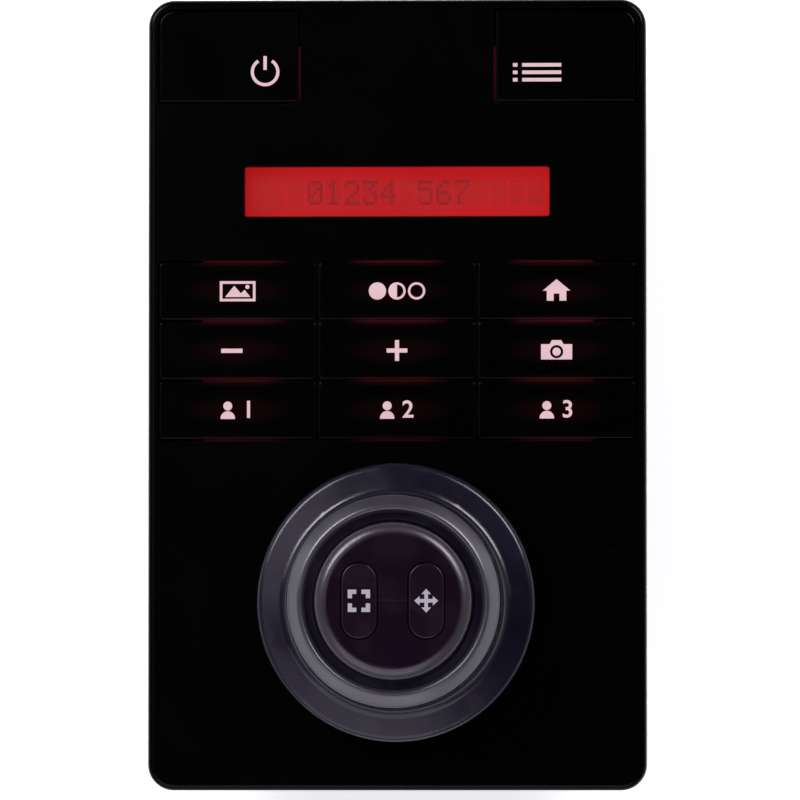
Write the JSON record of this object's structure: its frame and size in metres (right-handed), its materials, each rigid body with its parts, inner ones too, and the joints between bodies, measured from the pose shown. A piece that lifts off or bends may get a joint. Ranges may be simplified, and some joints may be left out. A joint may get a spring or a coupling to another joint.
{
  "type": "hand controller",
  "caption": "Black console hand controller with a lit one-line display, a field of flat keys, corner keys and a sprung joystick puck that lifts, tilts and twists.",
  "frame": {"origin": "middle of the rear face, on the floor it lies on", "axes": "+Z out of the key face, +Y towards the display end, +X to the right of the face"},
  "size_m": [0.0864, 0.1372, 0.0606],
  "materials": {
    "bezel": "satin black moulding",
    "housing": "fine-grained black moulding",
    "seal": "black silicone",
    "gasket": "closed-cell foam",
    "brass": "knurled brass",
    "screw": "zinc-plated",
    "window": "clear red-tinted",
    "lcd": "lit red",
    "backlight": "translucent white",
    "lcd_frame": "pressed sheet",
    "guide": "translucent red light guide",
    "silicone": "translucent silicone",
    "board": "green solder mask",
    "chip": "moulded black",
    "led": "red lens",
    "jack": "moulded black",
    "contact": "gold-plated spring wire",
    "ribbon": "flat flexible cable",
    "plate": "milled",
    "steel": "ground",
    "spring": "music wire",
    "boot": "soft black rubber",
    "acetal": "low-friction moulding",
    "puck_body": "satin charcoal with a violet cast",
    "puck_ring": "satin graphite",
    "puck_cap": "soft-touch charcoal",
    "puck_button": "soft-touch charcoal, white symbol",
    "cable": "jacketed wire",
    "key": "satin black with lit legend"
  },
  "bodies": {
    "housing": {"front_bezel": "bezel", "rear_housing": "housing", "housing_seal": "seal", "panel_gasket": "gasket", "mounting_inserts": "brass", "housing_screws": "screw", "display_window": "window", "display_gasket": "gasket", "lcd_panel": "lcd", "lcd_backlight": "backlight", "lcd_frame": "lcd_frame", "key_guide": "guide", "keypad_mat": "silicone", "main_board": "board", "board_parts": "chip", "key_leds": "led", "small_screws": "screw", "network_board": "board", "network_parts": "chip", "ethernet_jack": "jack", "jack_contacts": "contact", "board_ribbon": "ribbon", "stick_ribbon": "ribbon", "stick_top_plate": "plate", "stick_base": "plate", "guide_posts": "steel", "lift_springs": "spring", "sensor_board": "board", "centering_spring": "spring", "stick_boot": "boot"},
    "carrier": {"lift_carrier": "acetal", "ring_pins": "steel"},
    "gimbal": {"gimbal_ring": "plate", "hub_pins": "steel"},
    "hub": {"gimbal_hub": "acetal", "twist_spring": "spring"},
    "puck": {"stem": "plate", "stem_clip": "spring", "stem_magnet": "steel", "stem_screws": "screw", "puck_body": "puck_body", "puck_ring": "puck_ring", "puck_cap": "puck_cap", "puck_board": "board", "puck_switches": "chip", "puck_cable": "cable"},
    "frame_button": {"frame_button": "puck_button"},
    "move_button": {"move_button": "puck_button"},
    "power_key": {"power_key": "key"},
    "menu_key": {"menu_key": "key"},
    "scene_key": {"scene_key": "key"},
    "colour_key": {"colour_key": "key"},
    "home_key": {"home_key": "key"},
    "minus_key": {"minus_key": "key"},
    "plus_key": {"plus_key": "key"},
    "camera_key": {"camera_key": "key"},
    "user_key_1": {"user_key_1": "key"},
    "user_key_2": {"user_key_2": "key"},
    "user_key_3": {"user_key_3": "key"}
  },
  "joints": [
    {"name": "lift", "type": "slide", "parent": "housing", "child": "carrier", "axis": [0, 0, 1], "range_m": [-0.0008, 0.0008], "stiffness_N_per_m": 2000, "springref_m": 0.0002, "deforming": ["lift_springs", "centering_spring", "stick_boot", "puck_cable"]},
    {"name": "tilt_x", "type": "hinge", "parent": "carrier", "child": "gimbal", "pos_m": [0, -0.0362, 0.022], "axis": [1, 0, 0], "range_deg": [-4, 4], "stiffness_Nm_per_rad": 1, "deforming": ["centering_spring", "stick_boot", "puck_cable"]},
    {"name": "tilt_y", "type": "hinge", "parent": "gimbal", "child": "hub", "pos_m": [0, -0.0362, 0.022], "axis": [0, 1, 0], "range_deg": [-4, 4], "stiffness_Nm_per_rad": 1, "deforming": ["centering_spring", "stick_boot", "puck_cable"]},
    {"name": "twist", "type": "hinge", "parent": "hub", "child": "puck", "pos_m": [0, -0.0362, 0.022], "axis": [0, 0, 1], "range_deg": [-8, 8], "stiffness_Nm_per_rad": 0.3, "deforming": ["twist_spring", "puck_cable"]},
    {"name": "frame_button_press", "type": "slide", "parent": "puck", "child": "frame_button", "axis": [0, 0, -1], "range_m": [0, 0.0005], "stiffness_N_per_m": 150, "springref_m": -0.002},
    {"name": "move_button_press", "type": "slide", "parent": "puck", "child": "move_button", "axis": [0, 0, -1], "range_m": [0, 0.0005], "stiffness_N_per_m": 150, "springref_m": -0.002},
    {"name": "power_key_press", "type": "slide", "parent": "housing", "child": "power_key", "axis": [0, 0, -1], "range_m": [0, 0.0008], "stiffness_N_per_m": 300, "springref_m": -0.0015, "deforming": ["keypad_mat"]},
    {"name": "menu_key_press", "type": "slide", "parent": "housing", "child": "menu_key", "axis": [0, 0, -1], "range_m": [0, 0.0008], "stiffness_N_per_m": 300, "springref_m": -0.0015, "deforming": ["keypad_mat"]},
    {"name": "scene_key_press", "type": "slide", "parent": "housing", "child": "scene_key", "axis": [0, 0, -1], "range_m": [0, 0.0008], "stiffness_N_per_m": 300, "springref_m": -0.0015, "deforming": ["keypad_mat"]},
    {"name": "colour_key_press", "type": "slide", "parent": "housing", "child": "colour_key", "axis": [0, 0, -1], "range_m": [0, 0.0008], "stiffness_N_per_m": 300, "springref_m": -0.0015, "deforming": ["keypad_mat"]},
    {"name": "home_key_press", "type": "slide", "parent": "housing", "child": "home_key", "axis": [0, 0, -1], "range_m": [0, 0.0008], "stiffness_N_per_m": 300, "springref_m": -0.0015, "deforming": ["keypad_mat"]},
    {"name": "minus_key_press", "type": "slide", "parent": "housing", "child": "minus_key", "axis": [0, 0, -1], "range_m": [0, 0.0008], "stiffness_N_per_m": 300, "springref_m": -0.0015, "deforming": ["keypad_mat"]},
    {"name": "plus_key_press", "type": "slide", "parent": "housing", "child": "plus_key", "axis": [0, 0, -1], "range_m": [0, 0.0008], "stiffness_N_per_m": 300, "springref_m": -0.0015, "deforming": ["keypad_mat"]},
    {"name": "camera_key_press", "type": "slide", "parent": "housing", "child": "camera_key", "axis": [0, 0, -1], "range_m": [0, 0.0008], "stiffness_N_per_m": 300, "springref_m": -0.0015, "deforming": ["keypad_mat"]},
    {"name": "user_key_1_press", "type": "slide", "parent": "housing", "child": "user_key_1", "axis": [0, 0, -1], "range_m": [0, 0.0008], "stiffness_N_per_m": 300, "springref_m": -0.0015, "deforming": ["keypad_mat"]},
    {"name": "user_key_2_press", "type": "slide", "parent": "housing", "child": "user_key_2", "axis": [0, 0, -1], "range_m": [0, 0.0008], "stiffness_N_per_m": 300, "springref_m": -0.0015, "deforming": ["keypad_mat"]},
    {"name": "user_key_3_press", "type": "slide", "parent": "housing", "child": "user_key_3", "axis": [0, 0, -1], "range_m": [0, 0.0008], "stiffness_N_per_m": 300, "springref_m": -0.0015, "deforming": ["keypad_mat"]}
  ]
}
